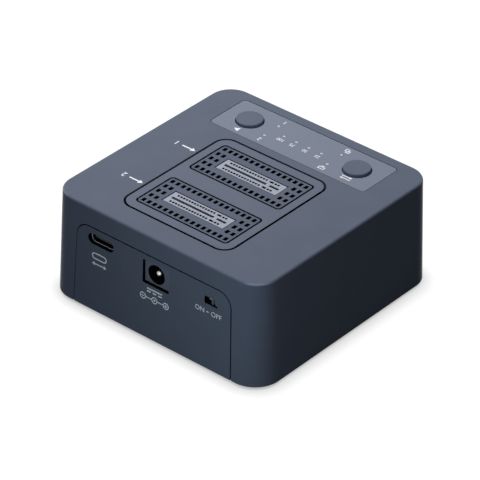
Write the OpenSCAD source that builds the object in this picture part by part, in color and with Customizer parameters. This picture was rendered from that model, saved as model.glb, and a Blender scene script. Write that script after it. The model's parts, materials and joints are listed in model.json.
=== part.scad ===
// Two-bay drive docking station. A drafted square case carries two upright card sockets in vent grilles and
// a control strip with two push buttons on its top. A data port, a power inlet and a slide switch lie in its
// rear. Millimetres. +Z is up and the rear faces +Y. The origin lies under the middle of the case, on the
// surface that the feet stand on.

/* [Case] */
// Height of the case from its lower rim to its top face
case_h = 34; // [32:0.5:42]
// Inset of each side between the lower rim and the top face
draft = 1.3; // [0.8:0.1:2]
// Radius of the upright corners at the top face
corner_r = 7.3; // [6:0.1:9.5]
// Radius of the rounding round the top face
edge_r = 0.8; // [0.5:0.1:1.8]
// Thickness of the side walls
wall = 2; // [1.6:0.1:2.4]
// Thickness of the top
top_t = 2; // [1.8:0.1:2.6]
// Overlap of the hidden lips that hold the pieces let into the case
lip = 1.2; // [0.8:0.1:1.4]
// Thickness of those lips
lip_t = 1; // [0.8:0.1:1.2]
// Clearance between fixed pieces that fit together
fit = 0.05; // [0.03:0.01:0.1]
// Margin of the top face in front of the control strip
front_margin = 3.85; // [3:0.05:6]
// Margin of the top face beside the control strip
side_margin = 9.7; // [8:0.1:14]
// Margin of the top face behind the bay insert
rear_margin = 7.6; // [6:0.1:12]
// Distance between the control strip and the bay insert
strip_gap = 3.35; // [2.8:0.05:6]

/* [Bottom cover] */
// Height of the feet below the rim of the case
foot_h = 1; // [0.6:0.1:2]
// Diameter of a foot
foot_d = 9; // [7:0.5:11]
// Depth of the pocket that holds a foot
foot_sink = 0.6; // [0.4:0.1:0.8]
// Gap round a foot in its pocket
foot_gap = 0.1; // [0.05:0.05:0.2]
// Distance of each foot's middle from the rim of the case
foot_inset = 17; // [16:0.5:19]
// Thickness of the bottom cover
cover_t = 2; // [1.8:0.1:3]
// Depth of the bottom cover above the rim
cover_recess = 0.3; // [0.1:0.1:0.6]
// Gap round the bottom cover
cover_gap = 0.25; // [0.15:0.05:0.4]
// Length of an air slot in the bottom cover
slot_l = 22; // [16:1:26]
// Width of an air slot in the bottom cover
slot_w = 1.8; // [1.2:0.1:2.4]
// Spacing of the air slots
slot_pitch = 4.5; // [3.5:0.5:5]
// Number of air slots
slot_count = 7; // [3:2:7]
// Diameter of the posts that take the cover screws
boss_d = 6; // [5.4:0.2:7]
// Distance of those posts from the rim of the case
boss_inset = 9.2; // [8:0.2:10]
// Thread diameter of a cover screw
cover_screw_d = 2.5; // [2:0.1:3]
// Thread length of a cover screw
cover_screw_l = 7; // [5:0.5:12]
// Head diameter of a cover screw
cover_head_d = 4.6; // [4:0.1:5.2]
// Head height of a screw
head_h = 1.1; // [0.8:0.1:1.3]
// Gap round a screw head in its pocket
head_gap = 0.2; // [0.1:0.05:0.3]
// Free depth of a screw hole beyond the screw's tip
tip_room = 0.6; // [0.3:0.1:1]
// Length of the cross recess in a screw head
cross_l = 2.6; // [2:0.1:3]
// Width of the cross recess in a screw head
cross_w = 0.7; // [0.5:0.05:0.9]
// Depth of the cross recess in a screw head
cross_h = 0.6; // [0.4:0.05:0.7]

/* [Drive bays] */
// Distance between the two bays
bay_pitch = 23; // [22:0.1:26]
// Width of a vent grille, to the middle of its seam
grille_w = 33.7; // [31:0.1:36]
// Depth of a vent grille, to the middle of its seam
grille_d = 16; // [15:0.1:17.5]
// Corner radius of a vent grille
grille_r = 1.1; // [0.8:0.1:3]
// Width of the insert's border beside the grilles
border_side = 3.15; // [2.9:0.05:4]
// Width of the insert's border in front of the front grille and behind the rear one
border_end = 3.6; // [2.9:0.05:4.5]
// Corner radius of the bay insert
insert_r = 4.2; // [3:0.2:6]
// Width of the seam round the bay insert
insert_seam = 0.75; // [0.3:0.05:0.9]
// Width of the seam round a vent grille
grille_seam = 0.6; // [0.2:0.05:0.7]
// Width of a vent hole
vent_w = 1.2; // [0.9:0.05:1.5]
// Depth of a vent hole
vent_d = 1.7; // [1.2:0.1:2.2]
// Spacing of the vent holes along the grille
vent_pitch_x = 2.03; // [1.8:0.01:2.6]
// Spacing of the vent holes across the grille
vent_pitch_y = 3.1; // [2.6:0.05:3.6]
// Least width of solid grille round the vent holes
vent_margin = 0.6; // [0.4:0.05:0.8]

/* [Drive sockets] */
// Length of a socket housing
socket_l = 22.2; // [21.6:0.1:23]
// Width of a socket housing
socket_w = 5.6; // [5:0.1:6]
// Depth of the housing's top below the top face of the case
socket_recess = 0.1; // [0.1:0.05:1]
// Gap between a socket housing and its grille
socket_gap = 0.3; // [0.2:0.05:0.4]
// Thickness of the housing's ends beyond the card slot
socket_end = 1; // [0.8:0.1:1.3]
// Width of the card slot
card_slot_w = 0.95; // [0.9:0.05:1.7]
// Depth of the card slot
card_slot_h = 4.4; // [3.6:0.1:5]
// Distance of the key rib from the middle of the socket, towards -X
key_x = 6.1; // [5.6:0.1:6.4]
// Width of the key rib
key_w = 1.1; // [0.8:0.1:1.3]
// Width of the window beside the key rib in each contact row
key_window_w = 1.5; // [0.8:0.1:1.6]
// Depth of that window down into the housing
key_window_h = 1.5; // [1:0.1:2]
// Distance of the contact rows from the middle of the slot
contact_row_y = 1.78; // [1.5:0.02:1.9]
// Spacing of the contacts
contact_pitch = 1.02; // [0.9:0.02:1.06]
// Number of contacts in a row on the long side of the key
long_contacts = 14; // [10:1:14]
// Number of contacts in a row on the short side of the key
short_contacts = 2; // [1:1:2]
// Distance from the key to the first contact on the long side
long_start = 1.9; // [1.5:0.05:2.1]
// Distance from the key to the first contact on the short side
short_start = 1.5; // [1.3:0.05:1.7]
// Width of a contact pocket along the row
pocket_w = 0.74; // [0.5:0.02:0.78]
// Width of a contact pocket across the row
pocket_d = 0.8; // [0.6:0.02:0.9]
// Thickness of the housing above the contacts' openings to the slot
pocket_roof = 0.9; // [0.7:0.1:1.2]
// Thickness of a contact along the row
contact_t = 0.3; // [0.2:0.02:0.36]
// Gap across the row between a contact's leg and its pocket
contact_gap = 0.2; // [0.1:0.02:0.24]
// Reach of a contact's nose into the card slot
nose_reach = 0.2; // [0.1:0.02:0.3]
// Height of a contact's nose
nose_h = 2; // [1.4:0.1:2.4]
// Distance of the nose below the roof over it
nose_drop = 0.5; // [0.3:0.05:0.8]

/* [Control strip] */
// Depth of the control overlay, to the middle of its seam
overlay_d = 16.4; // [15:0.1:20]
// Distance from a button's middle to the end of the overlay
overlay_end = 8.8; // [6.5:0.1:11]
// Corner radius of the control overlay
overlay_r = 1.5; // [1:0.1:4]
// Thickness of the control overlay
overlay_t = 0.5; // [0.3:0.05:0.8]
// Depth of the overlay's face below the top face of the case
overlay_drop = 0.05; // [0.05:0.05:0.3]
// Width of the seam round the control overlay
overlay_seam = 0.2; // [0.05:0.05:0.3]
// Diameter of a push button
button_d = 8.3; // [7:0.1:9.5]
// Height of a push button above the overlay
button_h = 0.95; // [0.8:0.05:1.5]
// Rounding of a push button's rim
button_r = 0.4; // [0.2:0.05:0.6]
// Gap round a push button
button_gap = 0.25; // [0.2:0.05:0.35]
// Travel of a push button
button_travel = 0.4; // [0.2:0.05:0.5]
// Play between a released button's flange and the top above it
button_play = 0.1; // [0.05:0.05:0.2]
// Diameter of the stem under a push button
stem_d = 3; // [2.4:0.1:3.2]
// Length of the stem under a push button
stem_l = 0.9; // [0.6:0.1:2]
// Distance of the state lights from the middle, along X
state_x = 11.8; // [10.5:0.1:13.5]
// Distance of the state lights from the strip's middle line
state_y = 3.3; // [2.6:0.1:4]
// Spacing of the progress lights
progress_pitch = 4.7; // [3.8:0.1:5.4]
// Number of progress lights
progress_count = 4; // [2:1:4]
// Diameter of a light tip
tip_d = 1; // [0.8:0.05:1.2]
// Gap round a light tip
tip_gap = 0.1; // [0.05:0.05:0.15]
// Diameter of the light pipes below the top
pipe_d = 1.8; // [1.4:0.1:2.2]
// Gap between a light pipe and the lamp under it
pipe_gap = 0.3; // [0.2:0.05:0.4]
// Margin of the light pipes' carrier round them
carrier_margin = 1.2; // [0.8:0.1:1.5]
// Gap between that carrier and the flange of a push button
carrier_gap = 0.95; // [0.5:0.05:1.5]
// Length of a lamp
lamp_l = 1.6; // [1.2:0.1:2]
// Width of a lamp
lamp_w = 0.8; // [0.6:0.1:1.1]
// Height of a lamp
lamp_h = 0.6; // [0.4:0.1:0.9]

/* [Main board] */
// Thickness of the board
board_t = 1.6; // [1.2:0.1:2]
// Gap between the board's edge and the pieces round it
board_gap = 0.8; // [0.6:0.1:1.2]
// Diameter of the posts that carry the board
post_d = 5; // [4.4:0.2:6]
// Distance of the posts from the board's sides
post_inset = 7.2; // [6:0.2:8]
// Distance of the front posts from the board's front corner notches
post_front_inset = 13; // [10:0.5:16]
// Distance of the rear posts from the board's rear corner notches
post_rear_inset = 7; // [5:0.5:9]
// Thread diameter of a board screw
board_screw_d = 2; // [1.6:0.1:2.4]
// Thread length of a board screw inside its post
board_screw_l = 3; // [2.4:0.1:3.6]
// Head diameter of a board screw
board_head_d = 3.8; // [3.4:0.1:4.6]
// Gap round a board screw in its hole in the board
board_hole_gap = 0.15; // [0.1:0.05:0.2]
// Width of a key switch
tact_w = 6; // [5:0.1:7]
// Height of a key switch without its plunger
tact_h = 1.9; // [1.6:0.1:2.2]
// Height of a key switch with its plunger
tact_total_h = 3; // [2.8:0.05:3.6]
// Thickness of the floor inside a key switch
tact_floor = 0.3; // [0.2:0.05:0.4]
// Diameter of a key switch's plunger
plunger_d = 3.4; // [2.8:0.1:4]
// Radial clearance of the plunger
plunger_gap = 0.05; // [0.03:0.01:0.1]
// Side of a controller chip
chip_w = 11; // [9:0.5:13]
// Height of a controller chip
chip_h = 1; // [0.8:0.1:1.4]
// Distance of the controller chips from the middle, along X
chip_x = 13; // [11:0.5:16]
// Distance of the controller chips behind the middle
chip_y = 6; // [4:0.5:8]
// Side of a power inductor
inductor_w = 6; // [5:0.2:7]
// Height of a power inductor
inductor_h = 3; // [2.4:0.1:4]
// Corner radius of a power inductor
inductor_r = 0.8; // [0.4:0.1:1.2]
// Distance of the power inductors from the middle, along X
inductor_x = 11; // [9.5:0.5:12]
// Distance of the power inductors behind the middle
inductor_y = 20; // [18:0.5:21.5]
// Diameter of a capacitor can
capacitor_d = 5; // [4:0.2:6]
// Height of a capacitor with its base
capacitor_h = 5.8; // [4.8:0.2:7]
// Height of a capacitor's base
capacitor_base = 0.6; // [0.4:0.1:1]
// Distance of the outer capacitors from the middle, along X
capacitor_x = 20; // [18.5:0.5:22]
// Distance of the capacitors behind the middle
capacitor_y = 20; // [18:0.5:22]
// Length of a crystal
crystal_l = 3.2; // [2.6:0.1:5]
// Width of a crystal
crystal_w = 2.5; // [2:0.1:3]
// Height of a crystal
crystal_h = 0.8; // [0.6:0.1:1.2]
// Distance between a crystal's middle and its chip
crystal_gap = 3; // [2:0.5:4]

/* [Rear panel] */
// Distance of the rear panel's sides from the corners' roundings, at its top
panel_side = 2.7; // [1.6:0.1:4]
// Height of the rear panel's top above the board's underside
panel_head = 2.15; // [1.9:0.05:2.8]
// Radius of the rear panel's upper corners
panel_r = 4.6; // [3:0.2:6]
// Width of the seam round the rear panel
panel_seam = 0.4; // [0.2:0.05:0.6]
// Corner radius of the rear panel's square holes
hole_r = 0.4; // [0.2:0.1:0.6]

/* [Data port] */
// Distance of the data port's middle from the panel's side
port_inset = 9.05; // [8:0.05:11]
// Width of the port's shell
port_w = 8.82; // [8.4:0.02:9.6]
// Height of the port's shell
port_h = 3.04; // [2.9:0.02:3.5]
// Length of the port's shell
port_l = 7.4; // [6.8:0.1:9]
// Wall thickness of the port's shell
port_wall = 0.24; // [0.2:0.02:0.36]
// Recess of the port behind the panel's face
port_recess = 1.1; // [0.4:0.05:1.5]
// Gap between the port and the panel above and below the port
port_gap = 0.25; // [0.2:0.05:0.45]
// Gap between the port and the panel at the port's ends
port_end_gap = 0.5; // [0.3:0.05:0.8]
// Width of the port's tongue
tongue_w = 6.69; // [6.2:0.01:7]
// Thickness of the port's tongue
tongue_t = 0.7; // [0.6:0.02:0.84]
// Length of the port's tongue
tongue_l = 4.45; // [3.8:0.05:4.8]
// Bare length at the tongue's tip
tongue_tip = 0.85; // [0.6:0.05:1.2]
// Thickness of the block that closes the inner end of the port
tongue_base = 2.4; // [1.2:0.1:2.8]
// Number of contacts on each side of the tongue
tongue_contacts = 12; // [8:2:12]
// Spacing of the contacts on the tongue
tongue_pitch = 0.5; // [0.44:0.01:0.54]
// Width of a contact on the tongue
tongue_contact_w = 0.25; // [0.2:0.01:0.3]
// Thickness of a contact on the tongue
tongue_contact_t = 0.06; // [0.04:0.01:0.1]

/* [Power inlet] */
// Distance of the inlet's bore from the middle, towards -X
inlet_x = 0.7; // [0:0.1:1.5]
// Diameter of the inlet's bore
inlet_bore_d = 6.2; // [5.6:0.05:6.8]
// Depth of the inlet's bore
inlet_bore_l = 9; // [8:0.1:10]
// Thickness of the inlet above its bore
inlet_roof = 0.65; // [0.5:0.05:1]
// Thickness of the inlet below its bore
inlet_floor = 0.4; // [0.3:0.05:1]
// Thickness of the inlet beside its bore, towards +X
inlet_wall = 1.1; // [0.8:0.1:1.6]
// Thickness of the inlet beside its bore on the spring's side
inlet_spring_wall = 2.1; // [1.2:0.1:2.6]
// Thickness of the inlet behind its bore
inlet_back = 2; // [1.4:0.1:3]
// Recess of the inlet behind the panel's face
inlet_recess = 0.9; // [0.5:0.1:1.1]
// Gap between the inlet and the panel
inlet_gap = 0.25; // [0.15:0.05:0.35]
// Diameter of the inlet's centre pin
inlet_pin_d = 2; // [1.6:0.05:2.5]
// Length of the pin inside the bore
inlet_pin_l = 8.5; // [7:0.1:8.8]
// Width of the inlet's spring contact
spring_w = 2; // [1.6:0.1:2.4]
// Length of the inlet's spring contact
spring_l = 7; // [6:0.2:7.6]
// Thickness of the inlet's spring contact
spring_t = 0.3; // [0.2:0.02:0.4]

/* [Slide switch] */
// Distance of the slide switch's middle from the panel's side
switch_inset = 7.1; // [6.6:0.1:9]
// Width of the slide switch
switch_w = 8.6; // [7.6:0.1:9]
// Depth of the slide switch's body
switch_d = 3.6; // [2.8:0.1:4.5]
// Height of the slide switch
switch_h = 5.4; // [5:0.1:6.5]
// Thickness of the slide switch's metal face plate
face_t = 0.3; // [0.2:0.02:0.4]
// Gap between the slide switch and the panel
switch_gap = 0.3; // [0.24:0.02:0.4]
// Drop of the switch's lever below the board
lever_drop = 2.9; // [2.6:0.05:3.2]
// Width of the switch's lever
lever_w = 2.1; // [1.6:0.05:2.5]
// Height of the switch's lever
lever_h = 1.8; // [1.2:0.05:2]
// Travel of the switch's lever
lever_travel = 2; // [1.5:0.1:2.4]
// Recess of the lever's tip behind the panel's face
lever_recess = 0.4; // [0.3:0.1:1]
// Gap round the lever's travel in the panel
lever_gap = 0.35; // [0.3:0.05:0.4]
// Running clearance of the lever inside the switch
lever_play = 0.1; // [0.06:0.02:0.14]
// Width that the lever's foot adds on each side inside the switch
lever_foot = 0.6; // [0.4:0.1:0.8]
// Depth of the lever's foot inside the switch
lever_foot_d = 1.2; // [0.8:0.1:1.6]
// Width of the finger groove in the lever's tip
groove_w = 0.7; // [0.5:0.05:0.9]
// Depth of the finger groove in the lever's tip
groove_d = 0.5; // [0.3:0.05:0.6]

/* [Hidden] */
$fn = 64;
// Overshoot of cuts and depth to which fused shapes run into each other
over = 1;
fuse = 0.3;

// Plan of the top, from front to rear
insert_w = grille_w + 2 * border_side;
insert_d = bay_pitch + grille_d + 2 * border_end;
flange_d = button_d + 2 * lip;
button_x = state_x + pipe_d / 2 + carrier_margin + carrier_gap + flange_d / 2;
overlay_w = 2 * (button_x + overlay_end);
case_w = overlay_w + 2 * side_margin + 2 * draft;
case_d = front_margin + overlay_d + strip_gap + insert_d + rear_margin + 2 * draft;
overlay_y = -case_d / 2 + draft + front_margin + overlay_d / 2;
insert_y = overlay_y + overlay_d / 2 + strip_gap + insert_d / 2;
source_y = insert_y - bay_pitch / 2;
target_y = insert_y + bay_pitch / 2;
axis_x = case_w / 2 - draft - corner_r;
axis_y = case_d / 2 - draft - corner_r;
boss_x = case_w / 2 - boss_inset;
boss_y = case_d / 2 - boss_inset;
foot_x = case_w / 2 - foot_inset;
foot_y = case_d / 2 - foot_inset;
light_points = concat(
    [for (i = [0:progress_count - 1]) [(i - (progress_count - 1) / 2) * progress_pitch, overlay_y]],
    [for (sx = [-1, 1], sy = [-1, 1]) [sx * state_x, overlay_y + sy * state_y]]
);

// Heights, from the feet up
rim_z = foot_h;
top_z = rim_z + case_h;
ceiling_z = top_z - top_t;
lean = atan(draft / case_h);
cover_low_z = rim_z + cover_recess;
cover_top_z = cover_low_z + cover_t;
foot_top_z = cover_low_z + foot_sink;
cover_seat_z = cover_low_z + head_h + head_gap;
flange_top_z = ceiling_z - button_play;
flange_low_z = flange_top_z - lip_t;
plunger_top_z = flange_low_z - stem_l;
board_top_z = plunger_top_z - tact_total_h;
board_low_z = board_top_z - board_t;
plunger_low_z = board_top_z + tact_floor + button_travel + plunger_gap;
overlay_top_z = top_z - overlay_drop;
overlay_low_z = overlay_top_z - overlay_t;
button_top_z = overlay_top_z + button_h;
socket_top_z = top_z - socket_recess;
slot_low_z = socket_top_z - card_slot_h;
panel_top_z = board_low_z + panel_head;

// Board outline and the posts that carry it
panel_t = wall + fit;
board_side_x = side_x(board_top_z) - wall - board_gap;
board_front_y = wall + board_gap - rear_y(board_top_z);
board_rear_y = rear_y(board_top_z) - panel_t - lip_t - board_gap;
notch_x = boss_x - boss_d / 2 - board_gap;
notch_y = boss_y - boss_d / 2 - board_gap;
post_x = board_side_x - post_inset;
post_rows = [post_front_inset - notch_y, notch_y - post_rear_inset];
post_places = [for (sx = [-1, 1], y = post_rows) [sx * post_x, y]];

// Rear ports
panel_reach = draft + panel_t + lip_t + 2 * over;
panel_half = axis_x - panel_side;
panel_lip = panel_seam / 2 + lip;
port_x = panel_half - port_inset;
port_z = board_low_z - port_h / 2;
port_front_y = rear_y(port_z) - port_recess;
tongue_root_y = port_front_y - port_l + tongue_base;
inlet_z = board_low_z - inlet_roof - inlet_bore_d / 2;
inlet_front_y = rear_y(inlet_z) - inlet_recess;
inlet_w = inlet_wall + inlet_bore_d + inlet_spring_wall;
inlet_h = inlet_roof + inlet_bore_d + inlet_floor;
inlet_l = inlet_bore_l + inlet_back;
inlet_side_x = -inlet_x - inlet_bore_d / 2 - inlet_spring_wall;
spring_x = -inlet_x - inlet_bore_d / 2 - spring_t;
switch_x = switch_inset - panel_half;
lever_z = board_low_z - lever_drop;
lever_x = switch_x - lever_travel / 2;
lever_tip_y = rear_y(lever_z) - lever_recess;
switch_front_y = rear_y(lever_z) - panel_t - switch_gap;
switch_body_y = switch_front_y - face_t;
foot_w = lever_w + 2 * lever_foot;

// Places of the contacts along a row
contact_places = concat(
    [for (i = [0:long_contacts - 1]) -key_x + long_start + i * contact_pitch],
    [for (i = [0:short_contacts - 1]) -key_x - short_start - i * contact_pitch]
);

// Outer side face, outer rear face and corner radius at a height
function inset_at(z) = draft * (z - rim_z) / case_h;
function side_x(z) = case_w / 2 - inset_at(z);
function rear_y(z) = case_d / 2 - inset_at(z);
function corner_at(z, inwards) = corner_r + draft * (top_z - z) / case_h - inwards;

// Places of evenly spaced copies that fit into a length, about its middle
function spread(length, size, pitch) =
    let(steps = floor((length - size) / pitch))
    [for (i = [0:steps]) (i - steps / 2) * pitch];

// Shapes that repeat

module rounded_rect(w, d, r) {
    square([w - 2 * r, d], center = true);
    square([w, d - 2 * r], center = true);
    for (sx = [-1, 1], sy = [-1, 1])
        translate([sx * (w / 2 - r), sy * (d / 2 - r)]) circle(r);
}

module oval(w, h) {
    square([w - h, h], center = true);
    for (s = [-1, 1])
        translate([s * (w - h) / 2, 0]) circle(d = h);
}

module plate(w, d, r, low, high) {
    translate([0, 0, low]) linear_extrude(high - low) rounded_rect(w, d, r);
}

module box(w, d, low, high) {
    translate([-w / 2, -d / 2, low]) cube([w, d, high - low]);
}

module rod(d, low, high) {
    translate([0, 0, low]) cylinder(d = d, h = high - low);
}

// Stands an outline drawn in X and Z upright, running forwards from its rear face
module standing(rear, length) {
    translate([0, rear, 0]) rotate([90, 0, 0]) linear_extrude(length) children();
}

module four_corners(x, y) {
    for (sx = [-1, 1], sy = [-1, 1])
        translate([sx * x, sy * y, 0]) children();
}

module at_places(places) {
    for (place = places)
        translate(place) children();
}

module at_buttons() {
    for (s = [-1, 1])
        translate([s * button_x, overlay_y, 0]) children();
}

// Drafted block with round corners, swept from the half outline that is its child
module drafted_block(low, high) {
    translate([-axis_x, -axis_y, low]) cube([2 * axis_x, 2 * axis_y, high - low]);
    for (turn = [0:3]) {
        reach = turn % 2 == 0 ? axis_x : axis_y;
        run = turn % 2 == 0 ? axis_y : axis_x;
        rotate(90 * turn) translate([reach, run, 0]) {
            rotate([90, 0, 0]) linear_extrude(2 * run) children();
            rotate_extrude(angle = 90) children();
        }
    }
}

module straight_side(inwards, low, high) {
    polygon([[0, low], [corner_at(low, inwards), low], [corner_at(high, inwards), high], [0, high]]);
}

// Leaning side that ends upwards in a rounding, drawn from the rounding's middle
module leaning_side(r) {
    rotate(lean) {
        circle(r);
        translate([-draft, -case_h - over]) square([draft + r, case_h + over]);
    }
}

module rounded_side() {
    round_x = corner_r + edge_r * tan(lean) - edge_r / cos(lean);
    difference() {
        union() {
            translate([0, rim_z]) square([round_x, case_h]);
            translate([round_x, top_z - edge_r]) leaning_side(edge_r);
        }
        translate([0, rim_z - case_h]) square([case_w, case_h]);
    }
}

// Outline of the rear panel in X and Z, grown outwards, down to a height
module panel_outline(grow, r, low) {
    high = panel_top_z + grow;
    top_half = panel_half + grow / cos(lean) - grow * tan(lean);
    round_x = top_half + r * tan(lean) - r / cos(lean);
    difference() {
        union() {
            translate([-round_x, low]) square([2 * round_x, high - low]);
            for (side = [0, 1])
                mirror([side, 0]) translate([round_x, high - r]) leaning_side(r);
        }
        translate([-case_w, low - case_h]) square([2 * case_w, case_h]);
    }
}

// Slanting slab that follows the rear face, between two depths behind it
module rear_slab(near, far) {
    low = rim_z - over;
    high = top_z + over;
    rotate([90, 0, 90]) translate([0, 0, -case_w / 2]) linear_extrude(case_w)
        polygon([
            [rear_y(low) - far, low], [rear_y(low) - near, low],
            [rear_y(high) - near, high], [rear_y(high) - far, high]
        ]);
}

// Screw that points up, with the upper face of its head at the seat
module screw(thread_d, thread_l, head_d, seat_z) {
    head_low_z = seat_z - head_h;
    difference() {
        union() {
            rod(thread_d, seat_z, seat_z + thread_l);
            rod(head_d, head_low_z, seat_z);
        }
        for (turn = [0, 90])
            rotate(turn) box(cross_l, cross_w, head_low_z - over, head_low_z + cross_h);
    }
}

// Case

module top_shell() {
    color([0.25, 0.27, 0.32])
        difference() {
            union() {
                difference() {
                    drafted_block(rim_z, top_z) rounded_side();
                    drafted_block(rim_z - over, ceiling_z) straight_side(wall, rim_z - over, ceiling_z);
                }
                four_corners(boss_x, boss_y) rod(boss_d, cover_top_z, ceiling_z + fuse);
                at_places(post_places) rod(post_d, board_top_z, ceiling_z + fuse);
            }
            four_corners(boss_x, boss_y)
                rod(cover_screw_d + 2 * fit, cover_top_z - over, cover_seat_z + cover_screw_l + tip_room);
            at_places(post_places)
                rod(board_screw_d + 2 * fit, board_top_z - over, board_top_z + board_screw_l + tip_room);
            translate([0, insert_y, 0])
                plate(insert_w + insert_seam, insert_d + insert_seam, insert_r + insert_seam / 2,
                    ceiling_z - over, top_z + over);
            translate([0, overlay_y, 0])
                plate(overlay_w + overlay_seam, overlay_d + overlay_seam, overlay_r + overlay_seam / 2,
                    overlay_low_z, top_z + over);
            at_buttons() rod(button_d + 2 * button_gap, ceiling_z - over, top_z + over);
            at_places(light_points) rod(tip_d + 2 * tip_gap, ceiling_z - over, top_z + over);
            intersection() {
                rear_slab(-over, wall + over);
                standing(case_d / 2 + over, panel_reach)
                    panel_outline(panel_seam / 2, panel_r + panel_seam / 2, rim_z - over);
            }
        }
}

module bottom_cover() {
    cover_x = side_x(cover_top_z) - wall - cover_gap;
    cover_y = rear_y(cover_top_z) - wall - cover_gap;
    cover_r = corner_at(cover_top_z, wall + cover_gap);
    color([0.2, 0.22, 0.26])
        difference() {
            plate(2 * cover_x, 2 * cover_y, cover_r, cover_low_z, cover_top_z);
            four_corners(foot_x, foot_y) rod(foot_d + 2 * foot_gap, cover_low_z - over, foot_top_z);
            four_corners(boss_x, boss_y) {
                rod(cover_head_d + 2 * head_gap, cover_low_z - over, cover_seat_z);
                rod(cover_screw_d + 2 * fit, cover_low_z, cover_top_z + over);
            }
            for (i = [0:slot_count - 1])
                translate([0, (i - (slot_count - 1) / 2) * slot_pitch, cover_low_z - over])
                    linear_extrude(cover_t + 2 * over) oval(slot_l, slot_w);
        }
}

module cover_screws() {
    color([0.3, 0.3, 0.32])
        four_corners(boss_x, boss_y) screw(cover_screw_d, cover_screw_l, cover_head_d, cover_seat_z);
}

module rubber_feet() {
    color([0.06, 0.06, 0.07])
        four_corners(foot_x, foot_y) rod(foot_d, 0, foot_top_z);
}

// Frame behind the rear panel's edge that stands on the bottom cover, from a depth behind the rear face
module panel_frame(near, grow) {
    intersection() {
        rear_slab(near, panel_t + lip_t);
        difference() {
            standing(case_d / 2 + over, panel_reach) panel_outline(grow, panel_r + grow, cover_top_z);
            standing(case_d / 2 + 2 * over, panel_reach + 2 * over)
                panel_outline(-panel_lip, hole_r, cover_top_z - over);
        }
    }
}

// Rear panel, with a lip behind the case's wall
module port_panel() {
    color([0.23, 0.25, 0.3])
        difference() {
            union() {
                intersection() {
                    rear_slab(0, panel_t);
                    standing(case_d / 2 + over, panel_reach)
                        panel_outline(-panel_seam / 2, panel_r - panel_seam / 2, rim_z);
                }
                panel_frame(panel_t - fuse, -panel_seam / 2);
                panel_frame(panel_t, panel_lip);
            }
            standing(case_d / 2 + over, panel_reach) {
                translate([port_x, port_z]) oval(port_w + 2 * port_end_gap, port_h + 2 * port_gap);
                translate([inlet_side_x + inlet_w / 2, board_low_z - inlet_h / 2])
                    rounded_rect(inlet_w + 2 * inlet_gap, inlet_h + 2 * inlet_gap, hole_r);
                translate([switch_x, lever_z])
                    rounded_rect(lever_w + lever_travel + 2 * lever_gap, lever_h + 2 * lever_gap, hole_r);
            }
        }
}

// Drive bays

module bay_insert() {
    plate_w = insert_w - insert_seam;
    plate_d = insert_d - insert_seam;
    color([0.26, 0.28, 0.33])
        difference() {
            translate([0, insert_y, 0]) {
                plate(plate_w, plate_d, insert_r - insert_seam / 2, ceiling_z, top_z);
                difference() {
                    plate(insert_w + insert_seam + 2 * lip, insert_d + insert_seam + 2 * lip,
                        insert_r + insert_seam / 2 + lip, ceiling_z - lip_t, ceiling_z);
                    plate(plate_w - 2 * lip, plate_d - 2 * lip, insert_r - lip,
                        ceiling_z - lip_t - over, ceiling_z);
                }
            }
            for (y = [source_y, target_y])
                translate([0, y, 0])
                    plate(grille_w + grille_seam, grille_d + grille_seam, grille_r + grille_seam / 2,
                        ceiling_z - over, top_z + over);
        }
}

module grille(y) {
    window_w = socket_l + 2 * socket_gap;
    window_d = socket_w + 2 * socket_gap;
    color([0.24, 0.26, 0.31])
        translate([0, y, 0]) difference() {
            union() {
                plate(grille_w - grille_seam, grille_d - grille_seam, grille_r - grille_seam / 2,
                    ceiling_z, top_z);
                plate(grille_w + 2 * lip, grille_d + 2 * lip, grille_r + lip, ceiling_z - lip_t, ceiling_z);
            }
            box(window_w, window_d, ceiling_z - lip_t - over, top_z + over);
            for (vent_x = spread(grille_w - grille_seam - 2 * vent_margin, vent_w, vent_pitch_x))
                for (vent_y = spread(grille_d - grille_seam - 2 * vent_margin, vent_d, vent_pitch_y))
                    if (abs(vent_x) > window_w / 2 + vent_margin + vent_w / 2
                        || abs(vent_y) > window_d / 2 + vent_margin + vent_d / 2)
                        translate([vent_x, vent_y, 0])
                            box(vent_w, vent_d, ceiling_z - lip_t - over, top_z + over);
        }
}

module source_grille() grille(source_y);
module target_grille() grille(target_y);

module socket(y) {
    slot_half = socket_l / 2 - socket_end;
    long_low_x = key_w / 2 - key_x;
    short_l = slot_half - key_x - key_w / 2;
    color([0.66, 0.68, 0.73])
        translate([0, y, 0]) difference() {
            box(socket_l, socket_w, board_top_z, socket_top_z);
            translate([long_low_x, -card_slot_w / 2, slot_low_z])
                cube([slot_half - long_low_x, card_slot_w, card_slot_h + over]);
            translate([-slot_half, -card_slot_w / 2, slot_low_z])
                cube([short_l, card_slot_w, card_slot_h + over]);
            for (s = [-1, 1]) {
                for (x = contact_places) {
                    translate([x, s * contact_row_y, 0])
                        box(pocket_w, pocket_d, board_top_z - over, socket_top_z + over);
                    translate([x, s * contact_row_y / 2, 0])
                        box(pocket_w, contact_row_y, slot_low_z, socket_top_z - pocket_roof);
                }
                translate([-key_x, s * contact_row_y, 0])
                    box(key_window_w, pocket_d, socket_top_z - key_window_h, socket_top_z + over);
            }
        }
}

module source_socket() socket(source_y);
module target_socket() socket(target_y);

// Spring contact: an upright leg in its pocket with a nose that reaches into the card slot
module contact() {
    leg_in = contact_row_y - pocket_d / 2 + contact_gap;
    leg_out = contact_row_y + pocket_d / 2 - contact_gap;
    nose_top_z = socket_top_z - pocket_roof - nose_drop;
    rotate([90, 0, 90]) translate([0, 0, -contact_t / 2]) linear_extrude(contact_t)
        polygon([
            [leg_in, board_top_z], [leg_out, board_top_z], [leg_out, nose_top_z], [leg_in, nose_top_z],
            [card_slot_w / 2 - nose_reach, nose_top_z - nose_h / 2], [leg_in, nose_top_z - nose_h]
        ]);
}

module contacts(y) {
    color([0.8, 0.65, 0.3])
        for (x = contact_places, side = [0, 1])
            translate([x, y, 0]) mirror([0, side, 0]) contact();
}

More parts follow.
